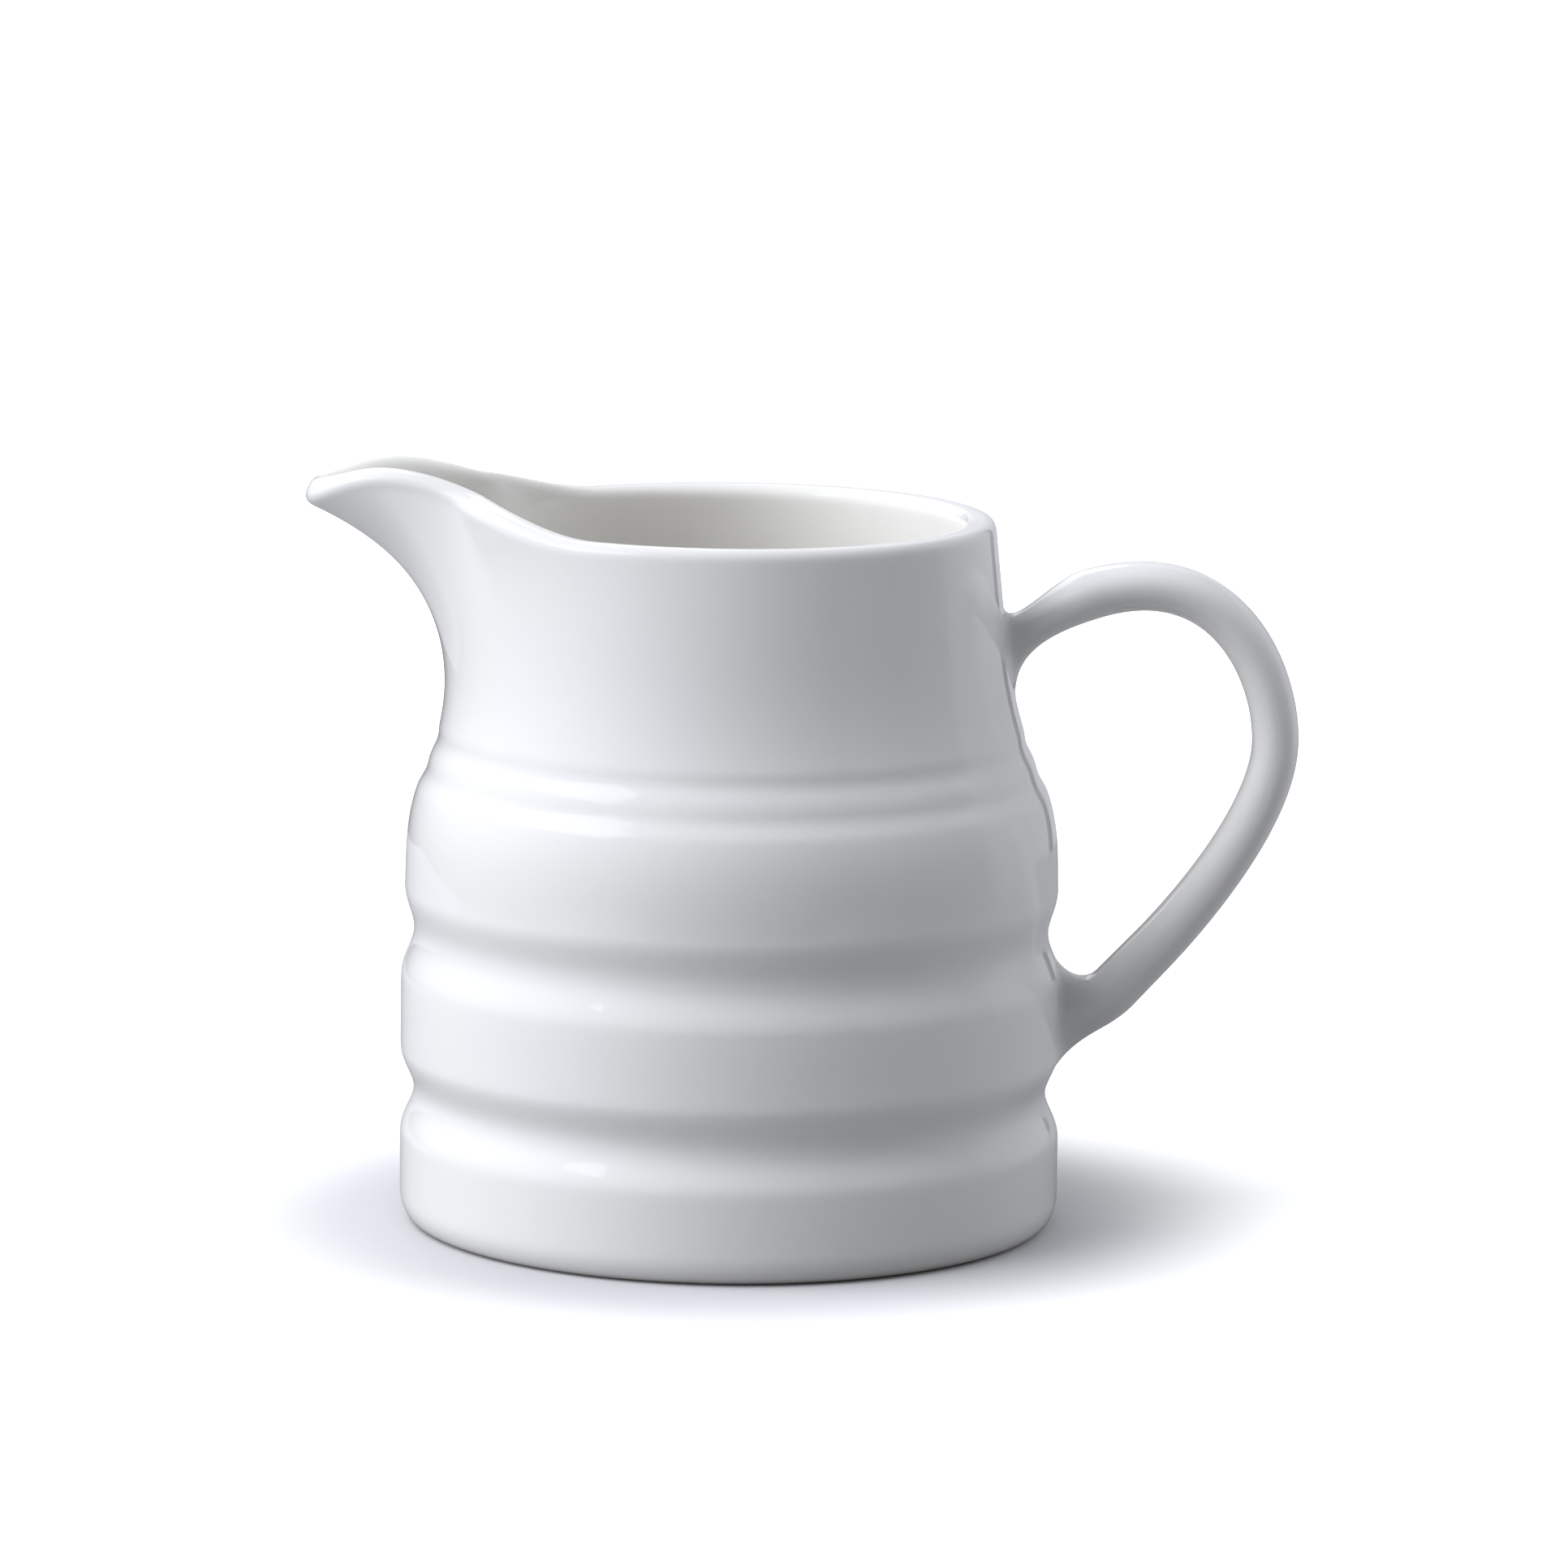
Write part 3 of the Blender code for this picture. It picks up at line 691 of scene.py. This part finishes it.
class Finish:
    """A material under its maker's name, with its shader and output in place."""

    def __init__(self, name):
        self.material = bpy.data.materials.new(name)
        self.material.use_nodes = True
        self.nodes = self.material.node_tree.nodes
        self.links = self.material.node_tree.links
        self.shader = self.nodes["Principled BSDF"]
        self.place = self.node("ShaderNodeTexCoord", {}, output="Object")

    def node(self, kind, settings, *values, output=None, **named):
        """Add a node, set its settings, then fill its sockets in order or by name."""
        made = self.nodes.new(kind)
        for key, value in settings.items():
            setattr(made, key, value)
        for socket, value in zip(made.inputs, values):
            self.fill(socket, value)
        for key, value in named.items():
            self.fill(made.inputs[key], value)
        return Wire(self, made.outputs[output] if output else made.outputs[0])

    def fill(self, socket, value):
        if isinstance(value, Wire):
            self.links.new(value.socket, socket)
        else:
            socket.default_value = value

    def dress(self, **sockets):
        """Fill the main shader's sockets, their names written with _ for a space."""
        for name, value in sockets.items():
            self.fill(self.shader.inputs[name.replace("_", " ")], value)

    def blend(self, share, under, over):
        """A colour between two, by share. The Mix node's colour sockets are found by identifier,
        because it keeps a set under the same names for each kind of value."""
        made = self.nodes.new("ShaderNodeMix")
        made.data_type = "RGBA"
        factor, first, second = (
            next(s for s in made.inputs if s.identifier == name)
            for name in ("Factor_Float", "A_Color", "B_Color")
        )
        for socket, value in ((factor, share), (first, under), (second, over)):
            self.fill(socket, value)
        return Wire(self, next(s for s in made.outputs if s.identifier == "Result_Color"))


# %% [markdown]
# ## Glazed porcelain
# Porcelain is a white clay under a skin of clear glass. The clay gives the colour and the glass gives
# a sharp reflection on top of it, so the shader is a matt white base with a nearly smooth surface. A
# glaze is never quite flat: it settles in slow waves a couple of centimetres long, which make the
# edges of reflections wander, with a much finer orange peel on top.

# %% The glaze's own surface
WHITE = (0.835, 0.822, 0.790, 1.0)
COOL = (0.822, 0.818, 0.797, 1.0)
PAINTED_BOUNCE_WARM = (0.860, 0.842, 0.795, 1.0)
GLOSS = 0.035
BARE_ROUGHNESS = 0.70
SLOW_WAVE = 0.00006
ORANGE_PEEL = 0.0000010
WAVE_SCALE = 45.0
PEEL_SCALE = 620.0
DRIFT_SCALE = 28.0
SPECK_SCALE = 95.0
BODY_SPECKS = 0.7
LIMB_SPECKS = 0.5
POOL_SHARE = 0.6
BISQUE = (0.70, 0.67, 0.62, 1.0)
SPECK = (0.30, 0.27, 0.24, 1.0)


def glaze_surface(finish):
    """The two waves as one height: slow noise of 22 mm and orange peel of 1.6 mm."""
    slow = finish.node("ShaderNodeTexNoise", {}, Vector=finish.place, Scale=WAVE_SCALE, Detail=1.0)
    peel = finish.node("ShaderNodeTexNoise", {}, Vector=finish.place, Scale=PEEL_SCALE, Detail=1.0)
    height = slow * SLOW_WAVE + peel * ORANGE_PEEL
    return finish.node("ShaderNodeBump", {}, Strength=1.0, Distance=1.0, Height=height)


def specks(finish):
    """Pinholes and iron specks: the hearts of a few cells of a coarse pattern, 1 in a speck."""
    settings = {"feature": "F1"}
    cells = {"Vector": finish.place, "Scale": SPECK_SCALE}
    near = finish.node("ShaderNodeTexVoronoi", settings, output="Distance", **cells)
    chance = finish.node("ShaderNodeTexVoronoi", settings, output="Color", **cells)
    lucky = finish.node("ShaderNodeSeparateXYZ", {}, chance).between(0.955, 0.960)
    return near.between(0.030, 0.018) * lucky


def glazed(name):
    """A porcelain finish: tone that drifts slowly between two whites, on a glossy, wavy glaze."""
    finish = Finish(name)
    drift = finish.node("ShaderNodeTexNoise", {}, Vector=finish.place, Scale=DRIFT_SCALE, Detail=2.0)
    tone = finish.blend(drift.between(0.35, 0.65), WHITE, COOL)
    finish.dress(Roughness=GLOSS, Normal=glaze_surface(finish))
    return finish, tone


print("whites:", WHITE[:3], COOL[:3])

# %% [markdown]
# The body's glaze changes with place. It pools in the grooves, where it turns a shade bluer, and the
# foot ring is wiped bare so that the jug doesn't stick to the kiln shelf. Object coordinates are the
# jug's own, in metres, so both are bands of height. The inside carries painted bounce light, a warmer
# tint for the light thrown about inside the mouth. Since it shares its heights with the outside, it is
# told apart by the number stored on each ring.

# %% The body's finish


def body_finish():
    finish, tone = glazed("body_glaze")
    spot = finish.node("ShaderNodeSeparateXYZ", {}, finish.place, output="Z")
    pooled = 0.0
    for centre, _, reach in WIDE_GROOVES:
        pooled = spot.between(centre - reach, centre) * spot.between(centre + reach, centre) + pooled
    tone = finish.blend(pooled * POOL_SHARE, tone, COOL)
    inside = finish.node("ShaderNodeAttribute", {"attribute_name": "inside"}, output="Fac")
    # Painted light: the inside walls are tinted warmer to stand in for warm light bounced about inside the
    # jug.
    tone = finish.blend(inside, tone, PAINTED_BOUNCE_WARM)
    tone = finish.blend(specks(finish) * BODY_SPECKS, tone, SPECK)
    bare = spot.between(0.0006, 0.0003)
    tone = finish.blend(bare, tone, BISQUE)
    finish.dress(Base_Color=tone, Roughness=bare * BARE_ROUGHNESS + GLOSS)
    return finish.material


def limb_finish(name):
    finish, tone = glazed(name)
    finish.dress(Base_Color=finish.blend(specks(finish) * LIMB_SPECKS, tone, SPECK))
    return finish.material


body.data.materials.append(body_finish())
for name, piece in limbs.items():
    piece.data.materials.append(limb_finish(name.replace("_", "-") + "-glaze"))
print("materials:", [material.name for material in bpy.data.materials])

# %% [markdown]
# ## The floor
# The jug stands on a white sweep. A sweep that looks pure white from the front would also throw a
# strong light up under the jug, so there are two planes. The one that only the camera sees is bright,
# and glows a little more away from the foot, which keeps the shadow short. The one that lights the
# jug and shows in its glaze is a darker grey.

# %% Floor and backdrop
FLOOR_HALF = 4.0
FLOOR_DROP = 0.0002


def plane(name, height, half):
    mesh = bpy.data.meshes.new(name)
    corners = [(-half, -half, height), (half, -half, height), (half, half, height), (-half, half, height)]
    mesh.from_pydata(corners, [], [(0, 1, 2, 3)])
    made = bpy.data.objects.new(name, mesh)
    bpy.context.scene.collection.objects.link(made)
    made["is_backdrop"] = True
    return made


SEEN_FLOOR_WHITE = 0.62
NEAR_GLOW = 0.62
FAR_GLOW = 0.60
SHADOW_REACH = 0.036
LIT_FLOOR_WHITE = 0.32
LIT_FLOOR_HALF = 0.30


def show_to(piece, camera_ray):
    """Either for the camera alone, or for everything but the camera."""
    piece.visible_camera = camera_ray
    piece.visible_diffuse = not camera_ray
    piece.visible_glossy = not camera_ray
    piece.visible_shadow = not camera_ray
    piece.visible_transmission = not camera_ray
    piece.visible_volume_scatter = False


def make_floor():
    seen = plane("floor_seen", -FLOOR_DROP, FLOOR_HALF)
    finish = Finish("floor_white")
    foot = finish.node("ShaderNodeVectorMath", {"operation": "SUBTRACT"}, finish.place, AXIS.tolist())
    away = finish.node("ShaderNodeVectorMath", {"operation": "LENGTH"}, foot, output="Value") - BODY_RADIUS
    glow = away.between(0.0, SHADOW_REACH) * NEAR_GLOW + away.between(SHADOW_REACH, 0.5) * FAR_GLOW
    colour = finish.node("ShaderNodeCombineXYZ", {}, glow, glow, glow)
    finish.dress(Base_Color=(SEEN_FLOOR_WHITE,) * 3 + (1.0,), Roughness=1.0, Emission_Color=colour)
    finish.dress(Specular_IOR_Level=0.0, Emission_Strength=1.0)
    seen.data.materials.append(finish.material)
    show_to(seen, True)
    lit = plane("floor_lit", -2 * FLOOR_DROP, LIT_FLOOR_HALF)
    finish = Finish("floor_grey")
    finish.dress(Base_Color=(LIT_FLOOR_WHITE,) * 3 + (1.0,), Roughness=1.0, Specular_IOR_Level=0.0)
    lit.data.materials.append(finish.material)
    show_to(lit, False)


make_floor()

# %% [markdown]
# ## The backdrop
# A half sphere closes the scene behind the floor, so that a low view is white as well. Only the
# camera sees it, so it adds no light to the jug.

# %% Backdrop
DOME_RADIUS = 3.9
DOME_ROWS = 16
DOME_COLUMNS = 48
DOME_GLOW = 1.1


def make_dome():
    """A half sphere round everything, seen only by the camera, so that low views are white too."""
    up = np.linspace(0, np.pi / 2, DOME_ROWS + 1)[:-1, None]
    round_turn = np.linspace(0, 2 * np.pi, DOME_COLUMNS, endpoint=False)[None, :]
    ball = np.stack(np.broadcast_arrays(
        np.cos(up) * np.cos(round_turn), np.cos(up) * np.sin(round_turn), np.sin(up)), axis=-1)
    points = np.concatenate([ball.reshape(-1, 3) * DOME_RADIUS, [[0, 0, DOME_RADIUS]]])
    last = (DOME_ROWS - 1) * DOME_COLUMNS
    faces = ring_faces(DOME_ROWS, DOME_COLUMNS, True).tolist()
    faces += fan_faces(DOME_COLUMNS, last, len(points) - 1, False).tolist()
    mesh = bpy.data.meshes.new("backdrop")
    mesh.from_pydata(points, [], faces)
    made = bpy.data.objects.new("backdrop", mesh)
    bpy.context.scene.collection.objects.link(made)
    made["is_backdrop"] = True
    finish = Finish("backdrop_white")
    finish.dress(Base_Color=(0.0, 0.0, 0.0, 1.0), Emission_Color=(1.0, 1.0, 1.0, 1.0))
    finish.dress(Emission_Strength=DOME_GLOW)
    mesh.materials.append(finish.material)
    show_to(made, True)


make_dome()

# %% [markdown]
# ## The light
# A glossy white jug is lit as much by what it mirrors as by what falls on it. Most of the light falls
# from two big boxes at the left and a smaller one over the front, which the glaze doesn't mirror. The
# key at the left front is mirrored and draws the bright patches on the shoulder. Weaker boxes at the
# right and behind lift the far sides and put soft streaks along the outlines.

# %% Lights
TARGET = np.array([0.0, 0.0, 0.045])
LIGHT_DISTANCE = 1.6
DAYLIGHT = (1.0, 1.03, 1.11)
ROOM_GLOW = 0.02
SOFT_BOXES = {
    "key": (-70, 38, 40, 20, 1.8, True),
    "upper_left": (-74, 54, 44, 34, 4.0, False),
    "left_low": (-68, 18, 70, 24, 3.4, False),
    "over_front": (-30, 66, 50, 30, 1.3, False),
    "right_card": (75, 0, 54, 70, 0.2, True),
    "right_side": (112, 20, 60, 60, 0.95, False),
    "right_high": (110, 42, 50, 40, 0.85, False),
    "right_wall": (126, 5, 48, 60, 0.5, True),
    "back_right": (172, 20, 34, 60, 0.55, True),
    "back_left": (-158, 32, 34, 30, 1.5, True),
}


def soft_box(name, azimuth, elevation, wide, tall, glow, mirrored=True):
    """A rectangle that faces the jug and spans so many degrees as the jug sees it. Azimuth 0 is the
    camera's side and + is to the right. Each point glows alike, so power = pi x glow x area."""
    a, e = np.radians(azimuth), np.radians(elevation)
    way = np.array([np.sin(a) * np.cos(e), -np.cos(a) * np.cos(e), np.sin(e)])
    width, height = 2 * LIGHT_DISTANCE * np.tan(np.radians([wide, tall]) / 2)
    data = bpy.data.lights.new(name, "AREA")
    data.shape = "RECTANGLE"
    data.size = width
    data.size_y = height
    data.energy = glow * np.pi * width * height
    data.color = DAYLIGHT
    light = bpy.data.objects.new(name, data)
    turned = Vector(way.tolist()).to_track_quat("Z", "Y").to_matrix().to_4x4()
    light.matrix_world = Matrix.Translation((AXIS + TARGET + way * LIGHT_DISTANCE).tolist()) @ turned
    light.visible_camera = False
    light.visible_glossy = mirrored
    bpy.context.scene.collection.objects.link(light)
    return light


for name, settings in SOFT_BOXES.items():
    soft_box(name, *settings)

world = bpy.data.worlds.new("room")
world.use_nodes = True
world.node_tree.nodes["Background"].inputs["Color"].default_value = (ROOM_GLOW,) * 3 + (1.0,)
bpy.context.scene.world = world
bpy.context.scene.view_settings.view_transform = "Standard"
print("lights:", list(SOFT_BOXES))

# %% [markdown]
# ## Telling the frame
# Each piece rides on the one body and hides the CAD node that it stands for.

# %% Pieces and the frame
ROLES = {
    "porcelain_body": ("jug_body", "glazed_porcelain"),
    "porcelain_handle": ("handle", "glazed_handle"),
    "slip_upper_fillet": ("upper_slip_joint", "glazed_slip"),
    "slip_lower_fillet": ("lower_slip_joint", "glazed_slip"),
}
for piece in [body, *limbs.values()]:
    node, slot = ROLES[piece.name]
    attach(piece, "root")
    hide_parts(node)

bpy.context.view_layer.update()
visual_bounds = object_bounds()
sizes = {"cad": cad_bounds, "visual": visual_bounds}
sizes = {name: [[round(float(v), 6) for v in corner] for corner in box] for name, box in sizes.items()}
print(sizes)
